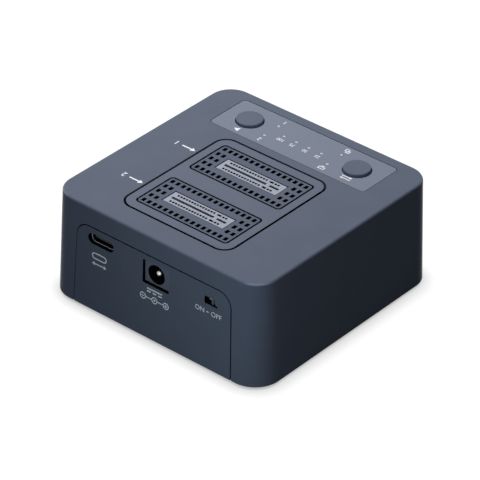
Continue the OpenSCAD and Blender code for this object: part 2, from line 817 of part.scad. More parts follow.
module source_contacts() contacts(source_y);
module target_contacts() contacts(target_y);

// Control strip

module control_overlay() {
    color([0.45, 0.48, 0.54])
        difference() {
            translate([0, overlay_y, 0])
                plate(overlay_w - overlay_seam, overlay_d - overlay_seam, overlay_r - overlay_seam / 2,
                    overlay_low_z, overlay_top_z);
            at_buttons() rod(button_d + 2 * button_gap, overlay_low_z - over, top_z + over);
            at_places(light_points) rod(tip_d + 2 * tip_gap, overlay_low_z - over, top_z + over);
        }
}

module light_pipe() {
    carrier_edge = pipe_d + 2 * carrier_margin;
    color([0.85, 0.88, 0.92])
        union() {
            translate([0, overlay_y, 0])
                box(2 * state_x + carrier_edge, 2 * state_y + carrier_edge, ceiling_z - lip_t, ceiling_z);
            at_places(light_points) {
                rod(tip_d, ceiling_z - fuse, overlay_top_z);
                rod(pipe_d, board_top_z + lamp_h + pipe_gap, ceiling_z - fuse);
            }
        }
}

module status_lamps() {
    color([0.9, 0.9, 0.85])
        at_places(light_points) box(lamp_l, lamp_w, board_top_z, board_top_z + lamp_h);
}

module button(x) {
    round_x = button_d / 2 - button_r;
    round_z = button_top_z - button_r;
    color([0.25, 0.28, 0.32])
        translate([x, overlay_y, 0]) {
            rotate_extrude() {
                translate([0, flange_low_z]) square([button_d / 2, round_z - flange_low_z]);
                translate([0, flange_low_z]) square([round_x, button_top_z - flange_low_z]);
                translate([round_x, round_z]) intersection() {
                    circle(button_r);
                    square(button_r);
                }
            }
            rod(flange_d, flange_low_z, flange_top_z);
            rod(stem_d, plunger_top_z, flange_low_z + fuse);
        }
}

module start_button() button(button_x);
module mode_button() button(-button_x);

module switch_body(x) {
    color([0.12, 0.12, 0.13])
        translate([x, overlay_y, 0]) difference() {
            box(tact_w, tact_w, board_top_z, board_top_z + tact_h);
            rod(plunger_d + 2 * plunger_gap, board_top_z + tact_floor, board_top_z + tact_h + over);
        }
}

module start_switch_body() switch_body(button_x);
module mode_switch_body() switch_body(-button_x);

module plunger(x) {
    color([0.55, 0.5, 0.42])
        translate([x, overlay_y, 0]) rod(plunger_d, plunger_low_z, plunger_top_z);
}

module start_switch_plunger() plunger(button_x);
module mode_switch_plunger() plunger(-button_x);

// Main board, notched round the corner posts

module main_board() {
    color([0.08, 0.3, 0.16])
        difference() {
            translate([0, 0, board_low_z]) linear_extrude(board_t) polygon([
                [notch_x, board_front_y], [notch_x, -notch_y], [board_side_x, -notch_y],
                [board_side_x, notch_y], [notch_x, notch_y], [notch_x, board_rear_y],
                [-notch_x, board_rear_y], [-notch_x, notch_y], [-board_side_x, notch_y],
                [-board_side_x, -notch_y], [-notch_x, -notch_y], [-notch_x, board_front_y]
            ]);
            at_places(post_places)
                rod(board_screw_d + 2 * board_hole_gap, board_low_z - over, board_top_z + over);
        }
}

module board_screws() {
    color([0.7, 0.7, 0.72])
        at_places(post_places) screw(board_screw_d, board_t + board_screw_l, board_head_d, board_low_z);
}

module controller_chips() {
    color([0.1, 0.1, 0.11])
        for (s = [-1, 1])
            translate([s * chip_x, chip_y, 0]) box(chip_w, chip_w, board_low_z - chip_h, board_low_z);
}

module power_inductors() {
    color([0.3, 0.3, 0.32])
        for (s = [-1, 1])
            translate([s * inductor_x, inductor_y, 0])
                plate(inductor_w, inductor_w, inductor_r, board_low_z - inductor_h, board_low_z);
}

module capacitors() {
    color([0.72, 0.73, 0.75])
        for (x = [-capacitor_x, 0, capacitor_x])
            translate([x, capacitor_y, 0]) {
                rod(capacitor_d, board_low_z - capacitor_h, board_low_z - capacitor_base);
                box(capacitor_d, capacitor_d, board_low_z - capacitor_base, board_low_z);
            }
}

module crystals() {
    color([0.78, 0.78, 0.8])
        for (s = [-1, 1])
            translate([s * chip_x, chip_y - chip_w / 2 - crystal_gap, 0])
                box(crystal_l, crystal_w, board_low_z - crystal_h, board_low_z);
}

// Data port

module data_port_shell() {
    color([0.7, 0.71, 0.73])
        standing(port_front_y, port_l) translate([port_x, port_z]) difference() {
            oval(port_w, port_h);
            oval(port_w - 2 * port_wall, port_h - 2 * port_wall);
        }
}

module data_port_tongue() {
    skin = 2 * (port_wall + fit);
    color([0.08, 0.08, 0.09])
        union() {
            standing(tongue_root_y, tongue_base)
                translate([port_x, port_z]) oval(port_w - skin, port_h - skin);
            translate([port_x - tongue_w / 2, tongue_root_y - fuse, port_z - tongue_t / 2])
                cube([tongue_w, tongue_l + fuse, tongue_t]);
        }
}

module data_port_contacts() {
    first_x = port_x - (tongue_contacts - 1) / 2 * tongue_pitch - tongue_contact_w / 2;
    upper_z = port_z + tongue_t / 2;
    lower_z = port_z - tongue_t / 2 - tongue_contact_t;
    color([0.85, 0.7, 0.35])
        for (i = [0:tongue_contacts - 1], z = [upper_z, lower_z])
            translate([first_x + i * tongue_pitch, tongue_root_y, z])
                cube([tongue_contact_w, tongue_l - tongue_tip, tongue_contact_t]);
}

// Power inlet

module inlet_body() {
    slot_h = spring_w + 2 * fit;
    color([0.1, 0.1, 0.11])
        difference() {
            translate([inlet_side_x, inlet_front_y - inlet_l, board_low_z - inlet_h])
                cube([inlet_w, inlet_l, inlet_h]);
            standing(inlet_front_y + over, inlet_bore_l + over)
                translate([-inlet_x, inlet_z]) circle(d = inlet_bore_d);
            standing(inlet_front_y, inlet_l + over)
                translate([-inlet_x, inlet_z]) circle(d = inlet_pin_d + 2 * fit);
            translate([spring_x, inlet_front_y - inlet_bore_l, inlet_z - slot_h / 2])
                cube([inlet_bore_d / 2, spring_l + fit, slot_h]);
        }
}

module inlet_pin() {
    round_r = inlet_pin_d / 2;
    color([0.8, 0.8, 0.78])
        translate([-inlet_x, inlet_front_y - inlet_bore_l + inlet_pin_l, inlet_z]) rotate([90, 0, 0])
            rotate_extrude() {
                translate([0, round_r]) square([round_r, inlet_pin_l + inlet_back - round_r]);
                intersection() {
                    translate([0, round_r]) circle(round_r);
                    square(round_r);
                }
            }
}

module inlet_spring() {
    color([0.75, 0.68, 0.4])
        translate([spring_x, inlet_front_y - inlet_bore_l, inlet_z - spring_w / 2])
            cube([spring_t, spring_l, spring_w]);
}

// Slide switch

module slide_switch_body() {
    channel_w = foot_w + lever_travel + 2 * lever_play;
    channel_h = lever_h + 2 * lever_foot + 2 * lever_play;
    color([0.07, 0.07, 0.08])
        difference() {
            translate([switch_x - switch_w / 2, switch_body_y - switch_d, board_low_z - switch_h])
                cube([switch_w, switch_d, switch_h]);
            standing(switch_body_y + over, lever_foot_d + 2 * lever_play + over)
                translate([switch_x, lever_z]) square([channel_w, channel_h], center = true);
        }
}

module slide_switch_plate() {
    path_w = lever_w + lever_travel + 2 * lever_play;
    path_h = lever_h + 2 * lever_play;
    color([0.72, 0.72, 0.74])
        difference() {
            translate([switch_x - switch_w / 2, switch_body_y, board_low_z - switch_h])
                cube([switch_w, face_t, switch_h]);
            standing(switch_front_y + over, face_t + 2 * over)
                translate([switch_x, lever_z]) square([path_w, path_h], center = true);
        }
}

module slide_switch_lever() {
    foot_front_y = switch_body_y - lever_play;
    color([0.16, 0.17, 0.2])
        translate([lever_x, 0, lever_z]) difference() {
            union() {
                standing(foot_front_y, lever_foot_d)
                    square([foot_w, lever_h + 2 * lever_foot], center = true);
                standing(lever_tip_y, lever_tip_y - foot_front_y + fuse)
                    square([lever_w, lever_h], center = true);
            }
            standing(lever_tip_y + over, groove_d + over)
                square([groove_w, lever_h + 2 * over], center = true);
        }
}

top_shell();
bay_insert();
source_grille();
target_grille();
control_overlay();
light_pipe();
start_button();
mode_button();
start_switch_body();
mode_switch_body();
start_switch_plunger();
mode_switch_plunger();
main_board();
status_lamps();
source_socket();
target_socket();
source_contacts();
target_contacts();
controller_chips();
power_inductors();
capacitors();
crystals();
board_screws();
port_panel();
data_port_shell();
data_port_tongue();
data_port_contacts();
inlet_body();
inlet_pin();
inlet_spring();
slide_switch_body();
slide_switch_plate();
slide_switch_lever();
bottom_cover();
cover_screws();
rubber_feet();
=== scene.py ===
import json
from math import atan, cos, hypot, pi, radians, sin

import bmesh
import bpy
from mathutils import Matrix, Vector


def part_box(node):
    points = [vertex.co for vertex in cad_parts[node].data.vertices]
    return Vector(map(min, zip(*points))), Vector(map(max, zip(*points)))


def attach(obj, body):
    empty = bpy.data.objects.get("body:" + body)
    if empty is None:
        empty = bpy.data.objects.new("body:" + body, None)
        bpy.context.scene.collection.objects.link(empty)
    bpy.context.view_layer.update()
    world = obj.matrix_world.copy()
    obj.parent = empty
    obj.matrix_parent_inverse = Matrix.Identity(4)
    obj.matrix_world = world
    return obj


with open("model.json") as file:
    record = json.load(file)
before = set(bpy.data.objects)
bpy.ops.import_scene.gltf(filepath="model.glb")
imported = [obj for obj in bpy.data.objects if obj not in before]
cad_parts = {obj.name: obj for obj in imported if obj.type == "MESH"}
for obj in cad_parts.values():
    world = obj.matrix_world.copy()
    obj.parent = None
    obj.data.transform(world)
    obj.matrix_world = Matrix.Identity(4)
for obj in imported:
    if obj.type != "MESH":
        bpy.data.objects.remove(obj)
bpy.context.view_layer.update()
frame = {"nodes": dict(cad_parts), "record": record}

NODES = frame["nodes"]
MM = 0.001
HOUSING = "housing"


def linear(red, green, blue):
    """A shader colour from the red, green and blue of a screen, each from 0 to 255."""
    values = []
    for level in (red, green, blue):
        share = level / 255
        values.append(share / 12.92 if share <= 0.04045 else ((share + 0.055) / 1.055) ** 2.4)
    return (*values, 1.0)


# Sizes in mm that the marks and the hollows are placed by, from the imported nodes

shell_low, shell_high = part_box("top_shell")
TOP_Z = shell_high.z / MM
OVERLAY_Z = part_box("control_overlay")[1].z / MM
RIM_Z = shell_low.z / MM
REAR_Y = shell_high.y / MM
# Inset of each side between the rim and the top face
DRAFT = 1.3
LEAN = atan(DRAFT / (TOP_Z - RIM_Z))


# Materials

# Band of a noise texture's values that most of a surface lies in
NOISE_LOW = 0.3
NOISE_HIGH = 0.7
# Share of turning at which the painted highlight on a corner begins, and at which it is full
HIGHLIGHT_START = 0.05
HIGHLIGHT_FULL = 0.15
BLACK = (0.0, 0.0, 0.0, 1.0)
WHITE = (1.0, 1.0, 1.0, 1.0)


class Recipe:
    """A node material that is put together step by step around one Principled shader."""

    def __init__(self, name):
        self.material = bpy.data.materials.new(name)
        self.material.use_nodes = True
        self.nodes = self.material.node_tree.nodes
        self.links = self.material.node_tree.links
        self.nodes.clear()
        self.shader = self.nodes.new("ShaderNodeBsdfPrincipled")
        output = self.nodes.new("ShaderNodeOutputMaterial")
        self.links.new(self.shader.outputs["BSDF"], output.inputs["Surface"])
        self.place = self.nodes.new("ShaderNodeTexCoord").outputs["Object"]

    def set(self, **values):
        """Plain values of the shader, with an underscore for each space in a name."""
        for key, value in values.items():
            self.shader.inputs[key.replace("_", " ")].default_value = value
        return self

    def stretched(self, scale):
        """The place on the part, scaled along each axis."""
        mapping = self.nodes.new("ShaderNodeMapping")
        mapping.inputs["Scale"].default_value = scale
        self.links.new(self.place, mapping.inputs["Vector"])
        return mapping.outputs["Vector"]

    def noise(self, size_mm, detail=2.0, place=None):
        """Soft clouds of a size."""
        node = self.nodes.new("ShaderNodeTexNoise")
        node.inputs["Scale"].default_value = 1 / (size_mm * MM)
        node.inputs["Detail"].default_value = detail
        self.links.new(place or self.place, node.inputs["Vector"])
        return node.outputs["Fac"]

    def cells(self, size_mm, feature="F1"):
        """Distances in a pattern of cells of a size."""
        node = self.nodes.new("ShaderNodeTexVoronoi")
        node.feature = feature
        node.inputs["Scale"].default_value = 1 / (size_mm * MM)
        self.links.new(self.place, node.inputs["Vector"])
        return node.outputs["Distance"]

    def ramp(self, value, stops):
        """A colour that goes from a first stop to a second with a value."""
        node = self.nodes.new("ShaderNodeValToRGB")
        for point, (position, colour) in zip(node.color_ramp.elements, stops):
            point.position = position
            point.color = colour
        self.links.new(value, node.inputs["Fac"])
        return node.outputs["Color"]

    def spread(self, value, low, high):
        """A noise texture's values stretched to a range."""
        node = self.nodes.new("ShaderNodeMapRange")
        node.inputs["From Min"].default_value = NOISE_LOW
        node.inputs["From Max"].default_value = NOISE_HIGH
        node.inputs["To Min"].default_value = low
        node.inputs["To Max"].default_value = high
        self.links.new(value, node.inputs["Value"])
        return node.outputs["Result"]

    def corner_highlight(self):
        """Mask of the painted highlight on corners: 1 where a surface turns both ways at an upper corner,
        and 0 on flat faces and straight edges.
        """
        normal = self.nodes.new("ShaderNodeSeparateXYZ")
        self.links.new(self.nodes.new("ShaderNodeTexCoord").outputs["Normal"], normal.inputs[0])
        turning = normal.outputs["Z"]
        for axis in "XY":
            turning = self.maths(turning, "MULTIPLY", self.maths(normal.outputs[axis], "ABSOLUTE", 0))
        return self.ramp(turning, [(HIGHLIGHT_START, BLACK), (HIGHLIGHT_FULL, WHITE)])

    def blended(self, share, below, above):
        """One colour laid over another by a share."""
        node = self.nodes.new("ShaderNodeMix")
        node.data_type = "RGBA"
        below_input, above_input = (s for s in node.inputs if s.type == "RGBA")
        result = next(s for s in node.outputs if s.type == "RGBA")
        self.links.new(share, node.inputs["Factor"])
        self.links.new(below, below_input)
        above_input.default_value = above
        return result

    def along(self, axis):
        """The place along one axis of the part."""
        split = self.nodes.new("ShaderNodeSeparateXYZ")
        self.links.new(self.place, split.inputs[0])
        return split.outputs[axis]

    def maths(self, value, operation, other):
        """One step of arithmetic on a value, with a number or with another value."""
        node = self.nodes.new("ShaderNodeMath")
        node.operation = operation
        self.links.new(value, node.inputs[0])
        if isinstance(other, (int, float)):
            node.inputs[1].default_value = other
        else:
            self.links.new(other, node.inputs[1])
        return node.outputs[0]

    def below(self, axis, edge_mm):
        """1 where the place along an axis is lower than an edge, and 0 elsewhere."""
        return self.maths(self.along(axis), "LESS_THAN", edge_mm * MM)

    def aside(self, axis, middle_mm, reach_mm):
        """1 where the place along an axis is further from a middle than a reach, and 0 elsewhere."""
        off = self.maths(self.along(axis), "SUBTRACT", middle_mm * MM)
        return self.maths(self.maths(off, "ABSOLUTE", 0), "GREATER_THAN", reach_mm * MM)

    def colour(self, output):
        self.links.new(output, self.shader.inputs["Base Color"])

    def roughness(self, output):
        self.links.new(output, self.shader.inputs["Roughness"])

    def bump(self, height, depth_mm, strength, below=None):
        """Relief on the surface, over another relief where one is given."""
        node = self.nodes.new("ShaderNodeBump")
        node.inputs["Strength"].default_value = strength
        node.inputs["Distance"].default_value = depth_mm * MM
        self.links.new(height, node.inputs["Height"])
        if below:
            self.links.new(below, node.inputs["Normal"])
        self.links.new(node.outputs["Normal"], self.shader.inputs["Normal"])
        return node.outputs["Normal"]


def shaded(colour, factor):
    """A colour made darker or lighter."""
    return (*(min(1.0, level * factor) for level in colour[:3]), 1.0)


def moulded(name, colour, rough, gloss, grain_mm=0.22, depth_mm=0.006, mottle=0.03, painted_highlight=0.0, shade=None):
    """Moulded plastic: fine grain, faint mottle and uneven sheen, with a painted highlight on corners and
    painted shade that blacks out hollows.
    """
    flow_mm, sheen_mm, wave_mm = 9.0, 1.6, 6.0
    sheen_swing, wave_strength, grain_strength = 0.05, 0.25, 0.3
    recipe = Recipe(name).set(Specular_IOR_Level=gloss)
    flow = recipe.noise(flow_mm, detail=3.0)
    dark, light = shaded(colour, 1 - mottle), shaded(colour, 1 + mottle)
    body = recipe.ramp(flow, [(NOISE_LOW, dark), (NOISE_HIGH, light)])
    # Painted highlight: the colour is made lighter where the surface turns at a corner
    if painted_highlight:
        body = recipe.blended(recipe.corner_highlight(), body, shaded(colour, 1 + painted_highlight))
    # Painted shade: the colour turns black in the hollows that the mask gives
    if shade:
        body = recipe.blended(shade(recipe), body, HOLLOW_PAINTED_SHADE)
    recipe.colour(body)
    recipe.roughness(recipe.spread(recipe.noise(sheen_mm), rough - sheen_swing, rough + sheen_swing))
    waviness = recipe.bump(recipe.noise(wave_mm, detail=1.0), depth_mm, strength=wave_strength)
    recipe.bump(recipe.noise(grain_mm, detail=3.0), depth_mm, strength=grain_strength, below=waviness)
    return recipe.material


def film(name, colour, rough, gloss):
    """Printed film: smooth, with a fine screen-print stipple under a satin coat."""
    stipple_mm, stipple_depth_mm, coat_mm = 0.35, 0.0015, 4.0
    tone_swing, coat_swing = 0.035, 0.04
    dark_end, light_end = 0.35, 0.65
    recipe = Recipe(name).set(Specular_IOR_Level=gloss)
    stipple = recipe.noise(stipple_mm, detail=1.0)
    dark, light = shaded(colour, 1 - tone_swing), shaded(colour, 1 + tone_swing)
    recipe.colour(recipe.ramp(stipple, [(dark_end, dark), (light_end, light)]))
    coat = recipe.noise(coat_mm, detail=2.0)
    recipe.roughness(recipe.spread(coat, rough - coat_swing, rough + coat_swing))
    recipe.bump(stipple, stipple_depth_mm, strength=0.3)
    return recipe.material


def ink(name, colour):
    """Pad-printed ink: a little uneven in cover, with a dry matt surface."""
    cover_mm, gloss = 0.25, 0.2
    thin_shade, thin_end, full_end = 0.88, 0.25, 0.55
    smoothest, roughest = 0.55, 0.68
    recipe = Recipe(name).set(Specular_IOR_Level=gloss)
    cover = recipe.noise(cover_mm, detail=2.0)
    recipe.colour(recipe.ramp(cover, [(thin_end, shaded(colour, thin_shade)), (full_end, colour)]))
    recipe.roughness(recipe.spread(cover, smoothest, roughest))
    return recipe.material


def metal(name, colour, rough, grain=(1.0, 1.0, 1.0), tarnish=0.12, bare=1.0, shade=None):
    """Plated or rolled metal, bare or dulled: fine drawn lines along one direction, a light tarnish, and
    painted shade that blacks out hollows where a mask is given.
    """
    line_mm, line_depth_mm = 0.12, 0.002
    cloud_mm, clean_end = 2.2, 0.65
    sheen_swing, smoothest = 0.07, 0.05
    recipe = Recipe(name).set(Metallic=bare)
    lines = recipe.noise(line_mm, detail=3.0, place=recipe.stretched(grain))
    cloud = recipe.noise(cloud_mm, detail=4.0)
    body = recipe.ramp(cloud, [(NOISE_LOW, shaded(colour, 1 - tarnish)), (clean_end, colour)])
    # Painted shade: the colour turns black in the hollows that the mask gives
    if shade:
        body = recipe.blended(shade(recipe), body, HOLLOW_PAINTED_SHADE)
    recipe.colour(body)
    recipe.roughness(recipe.spread(lines, max(smoothest, rough - sheen_swing), rough + sheen_swing))
    recipe.bump(lines, line_depth_mm, strength=0.3)
    return recipe.material


def rubber(name, colour):
    """Die-cut rubber: matt, with fine pores."""
    pore_mm, pore_depth_mm = 0.35, 0.02
    cloud_mm, dark_shade, light_shade = 3.0, 0.8, 1.25
    sheen_mm, smoothest, roughest = 0.8, 0.78, 0.9
    gloss = 0.25
    recipe = Recipe(name).set(Specular_IOR_Level=gloss)
    pores = recipe.cells(pore_mm)
    dark, light = shaded(colour, dark_shade), shaded(colour, light_shade)
    recipe.colour(recipe.ramp(recipe.noise(cloud_mm), [(NOISE_LOW, dark), (NOISE_HIGH, light)]))
    recipe.roughness(recipe.spread(recipe.noise(sheen_mm), smoothest, roughest))
    recipe.bump(pores, pore_depth_mm, strength=0.5)
    return recipe.material


def laminate(name, mask, track):
    """Circuit board: glass weave under a solder mask that stands a little higher over the tracks."""
    track_mm, track_depth_mm = 5.5, 0.02
    track_end, mask_end = 0.05, 0.08
    weave_mm, weave_depth_mm = 0.9, 0.01
    sheen_mm, smoothest, roughest = 1.2, 0.28, 0.4
    gloss = 0.45
    recipe = Recipe(name).set(Specular_IOR_Level=gloss)
    tracks = recipe.cells(track_mm, feature="DISTANCE_TO_EDGE")
    recipe.colour(recipe.ramp(tracks, [(track_end, track), (mask_end, mask)]))
    recipe.roughness(recipe.spread(recipe.noise(sheen_mm), smoothest, roughest))
    weave = recipe.bump(recipe.noise(weave_mm, detail=1.0), weave_depth_mm, strength=0.2)
    recipe.bump(tracks, track_depth_mm, strength=0.15, below=weave)
    return recipe.material


def milky(name, colour, rough):
    """Cloudy clear plastic with soft haze inside it."""
    haze_mm, haze_shade = 0.8, 0.9
    sheen_mm, sheen_swing = 0.4, 0.05
    recipe = Recipe(name).set(Transmission_Weight=0.25, IOR=1.49)
    haze = recipe.noise(haze_mm, detail=3.0)
    recipe.colour(recipe.ramp(haze, [(NOISE_LOW, shaded(colour, haze_shade)), (NOISE_HIGH, colour)]))
    recipe.roughness(recipe.spread(recipe.noise(sheen_mm), rough - sheen_swing, rough + sheen_swing))
    return recipe.material


CASE_BLUE_GREY = linear(100, 107, 122)
CASE_ROUGH = 0.2
CASE_GLOSS = 0.008
# Painted shade: the near-black that stands in for the shade deep in hollows
HOLLOW_PAINTED_SHADE = linear(12, 13, 16)
PORT_STEEL = linear(200, 204, 210)
PORT_FINISH = {"rough": 0.4, "grain": (1.0, 0.15, 1.0), "bare": 0.3}

LOOKS = {
    # The case plastic carries a painted highlight on its upper corners
    "case_plastic": moulded("case_plastic", CASE_BLUE_GREY, CASE_ROUGH, CASE_GLOSS, painted_highlight=0.9),
    "cover_plastic": moulded(
        "cover_plastic", linear(72, 78, 90), rough=0.55, gloss=CASE_GLOSS, grain_mm=0.35, depth_mm=0.012),
    "button_plastic": moulded(
        "button_plastic", linear(101, 108, 123), rough=0.42, gloss=CASE_GLOSS, grain_mm=0.18),
    "overlay_film": film("overlay_film", linear(127, 134, 149), rough=0.38, gloss=CASE_GLOSS),
    "black_plastic": moulded("black_plastic", linear(26, 27, 30), rough=0.45, gloss=0.35, depth_mm=0.004),
    "lever_plastic": moulded(
        "lever_plastic", linear(108, 113, 125), rough=0.4, gloss=CASE_GLOSS, depth_mm=0.004),
    "plunger_plastic": moulded(
        "plunger_plastic", linear(176, 162, 138), rough=0.5, gloss=0.4, depth_mm=0.004),
    "inductor_ferrite": moulded(
        "inductor_ferrite", linear(74, 75, 79), rough=0.7, gloss=0.3, grain_mm=0.5, depth_mm=0.02),
    "lamp_plastic": milky("lamp_plastic", linear(236, 232, 214), rough=0.2),
    "clear_plastic": milky("clear_plastic", linear(205, 212, 224), rough=0.28),
    "board_laminate": laminate("board_laminate", linear(17, 52, 36), linear(30, 84, 56)),
    "contact_metal": metal("contact_metal", linear(226, 190, 120), rough=0.26, grain=(1.0, 1.0, 0.2)),
    "can_metal": metal("can_metal", linear(205, 207, 211), rough=0.3, grain=(1.0, 1.0, 0.15)),
    "screw_steel": metal("screw_steel", linear(178, 180, 184), rough=0.34),
    "dark_steel": metal("dark_steel", linear(66, 67, 72), rough=0.42),
    "port_steel": metal("port_steel", PORT_STEEL, **PORT_FINISH),
    "pin_metal": metal(
        "pin_metal", linear(186, 186, 184), rough=0.3, grain=(1.0, 0.2, 1.0), tarnish=0.06),
    "foot_rubber": rubber("foot_rubber", linear(30, 31, 34)),
}
MARK_INK = ink("mark_ink", linear(250, 251, 253))

# Pieces whose hollows are painted black as shade: the inlet, the data port and the rear panel behind their
# faces, the grilles and the insert under their faces, and the sockets' contact pockets under their top

# Depth in mm at which the painted shade of the hollows begins, and distance of the pockets from the middle
# of a socket
FACE_DEPTH = 0.1
POCKET_REACH = 1.2


def under_top_face(recipe):
    """Mask of the painted shade: 1 under the level top face, and 0 on it."""
    return recipe.below("Z", TOP_Z - FACE_DEPTH)


def behind_rear_face(recipe):
    """Mask of the painted shade: 1 deeper than the leaning rear face, and 0 on it."""
    slope = DRAFT / (TOP_Z - RIM_Z)
    lean_back = recipe.maths(recipe.along("Z"), "MULTIPLY", slope)
    depth = recipe.maths(recipe.along("Y"), "ADD", lean_back)
    return recipe.maths(depth, "LESS_THAN", (REAR_Y + slope * RIM_Z - FACE_DEPTH) * MM)


def behind_face_of(node):
    """A painted shade that is 1 deeper than the upright rear face of a node, and 0 on it."""
    face_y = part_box(node)[1].y / MM
    return lambda recipe: recipe.below("Y", face_y - FACE_DEPTH)


def pockets_of(node):
    """A painted shade that is 1 in a socket's contact pockets, and 0 on its top and in its card slot."""
    low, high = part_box(node)
    middle_y = (low.y + high.y) / 2 / MM
    top_z = high.z / MM

    def pockets(recipe):
        sunk = recipe.below("Z", top_z - FACE_DEPTH)
        return recipe.maths(sunk, "MULTIPLY", recipe.aside("Y", middle_y, POCKET_REACH))

    return pockets


GRILLE_LOOK = moulded(
    "bay_grille_plastic", linear(98, 105, 120), CASE_ROUGH, CASE_GLOSS, shade=under_top_face)
OWN_LOOKS = {
    "bay_insert": moulded(
        "bay_insert_plastic", linear(106, 113, 128), CASE_ROUGH, CASE_GLOSS, shade=under_top_face),
    "source_grille": GRILLE_LOOK,
    "target_grille": GRILLE_LOOK,
    "port_panel": moulded(
        "port_panel_plastic", linear(99, 106, 121), CASE_ROUGH, CASE_GLOSS, shade=behind_rear_face),
    "inlet_body": moulded(
        "inlet_plastic", linear(112, 117, 129), rough=0.4, gloss=CASE_GLOSS, depth_mm=0.004,
        shade=behind_face_of("inlet_body")),
    "data_port_shell": metal(
        "port_rim_steel", PORT_STEEL, **PORT_FINISH, shade=behind_face_of("data_port_shell")),
}
for socket in ("source_socket", "target_socket"):
    OWN_LOOKS[socket] = moulded(
        f"{socket}_plastic", linear(156, 162, 175), rough=0.42, gloss=0.2, grain_mm=0.3, depth_mm=0.003,
        shade=pockets_of(socket))

for part in frame["record"]["subparts"]:
    mesh = NODES[part["node"]].data
    mesh.materials.clear()
    mesh.materials.append(OWN_LOOKS.get(part["node"]) or LOOKS[part["material_slot"]])


# Printed marks, each a list of flat faces in mm that becomes one thin sheet of ink

# Thickness of the ink, depth of its underside in the surface, and reach that joins faces' corners, in mm
INK_T = 0.03
INK_SUNK = 0.015
WELD_REACH = 0.0005
RING_STEPS = 40


def moved(shape, x, y):
    return [[(px + x, py + y) for px, py in face] for face in shape]


def turned(shape):
    """The shape turned half round."""
    return [[(-px, -py) for px, py in face] for face in shape]


def bar(width, height):
    x, y = width / 2, height / 2
    return [[(-x, -y), (x, -y), (x, y), (-x, y)]]


def round_points(radius):
    turns = [2 * pi * i / RING_STEPS for i in range(RING_STEPS)]
    return [(radius * cos(turn), radius * sin(turn)) for turn in turns]


def between(near, far):
    """Faces between two closed outlines with the same number of points."""
    last = len(near)
    return [[near[i], far[i], far[(i + 1) % last], near[(i + 1) % last]] for i in range(last)]


def ring(radius, line):
    """A round outline."""
    return between(round_points(radius - line / 2), round_points(radius + line / 2))


def disc(radius):
    return [round_points(radius)]


def pill(width, height, line):
    """A long outline with round ends."""
    straight = (width - height) / 2
    half_steps = RING_STEPS // 2
    outline = []
    for side in (1, -1):
        for i in range(half_steps + 1):
            turn = side * pi / 2 - pi * i / half_steps
            outline.append((side * straight, cos(turn), sin(turn)))
    inner, outer = (height - line) / 2, (height + line) / 2
    near = [(x + inner * c, inner * s) for x, c, s in outline]
    far = [(x + outer * c, outer * s) for x, c, s in outline]
    return between(near, far)


def stroke(points, line, closed=False):
    """A line of even width with mitred corners."""
    count = len(points)
    left, right = [], []
    for i, (x, y) in enumerate(points):
        before = points[i - 1] if closed or i > 0 else None
        after = points[(i + 1) % count] if closed or i < count - 1 else None
        normals = []
        for (ax, ay), (bx, by) in ((before or (x, y), (x, y)), ((x, y), after or (x, y))):
            length = hypot(bx - ax, by - ay)
            if length:
                normals.append(((ay - by) / length, (bx - ax) / length))
        nx = sum(n[0] for n in normals) / len(normals)
        ny = sum(n[1] for n in normals) / len(normals)
        reach = line / 2 / (nx * nx + ny * ny)
        left.append((x + nx * reach, y + ny * reach))
        right.append((x - nx * reach, y - ny * reach))
    ends = range(count if closed else count - 1)
    return [[right[i], right[(i + 1) % count], left[(i + 1) % count], left[i]] for i in ends]


# Length of an arrow's head as a share of its width
HEAD_SHARE = 0.8


def arrow(length, head, line):
    """An arrow that points along X, about its middle."""
    tip, neck, tail = length / 2, length / 2 - head * HEAD_SHARE, -length / 2
    return [[
        (tail, -line / 2), (neck, -line / 2), (neck, -head / 2), (tip, 0),
        (neck, head / 2), (neck, line / 2), (tail, line / 2),
    ]]


def two_way_arrow(length, head, line):
    neck, tip = length / 2 - head * HEAD_SHARE, length / 2
    return [[
        (-neck, -line / 2), (neck, -line / 2), (neck, -head / 2), (tip, 0), (neck, head / 2),
        (neck, line / 2), (-neck, line / 2), (-neck, head / 2), (-tip, 0), (-neck, -head / 2),
    ]]


def triangle(width, height):
    return [[(-width / 2, -height / 2), (width / 2, 0), (-width / 2, height / 2)]]


def frame_outline(width, height, line):
    x, y = (width - line) / 2, (height - line) / 2
    return stroke([(-x, -y), (x, -y), (x, y), (-x, y)], line, closed=True)


def screen_sign(width, height, line):
    """A screen on a foot."""
    panel_share, foot_share = 0.7, 0.55
    panel_h, foot_w = height * panel_share, width * foot_share
    stand_h = height - panel_h - line
    shape = moved(frame_outline(width, panel_h, line), 0, (height - panel_h) / 2)
    shape += moved(bar(line, stand_h), 0, line - height / 2 + stand_h / 2)
    shape += moved(bar(foot_w, line), 0, (line - height) / 2)
    return shape


def copy_sign(size, line):
    """A sheet in front of another."""
    sheet_share, hidden_share, clear_lines = 0.7, 0.45, 0.6
    sheet = size * sheet_share
    hidden = sheet * hidden_share
    shift = (size - sheet) / 2
    shape = moved(frame_outline(sheet, sheet, line), shift, -shift)
    low, high = (line - size) / 2, (size - line) / 2
    inner = size / 2 - sheet - line * clear_lines
    back_sheet = [
        (inner, low + hidden), (low, low + hidden), (low, high),
        (high - hidden, high), (high - hidden, -inner),
    ]
    return shape + stroke(back_sheet, line)


def direct_current_sign(width, height, line):
    """A full line over three dashes."""
    dash_share, gap_share = 0.25, 0.125
    dash, gap = width * dash_share, width * gap_share
    shape = moved(bar(width, line), 0, height / 2)
    for i in (-1, 0, 1):
        shape += moved(bar(dash, line), i * (dash + gap), -height / 2)
    return shape


# Steps of each curve of a letter
LETTER_STEPS = 6


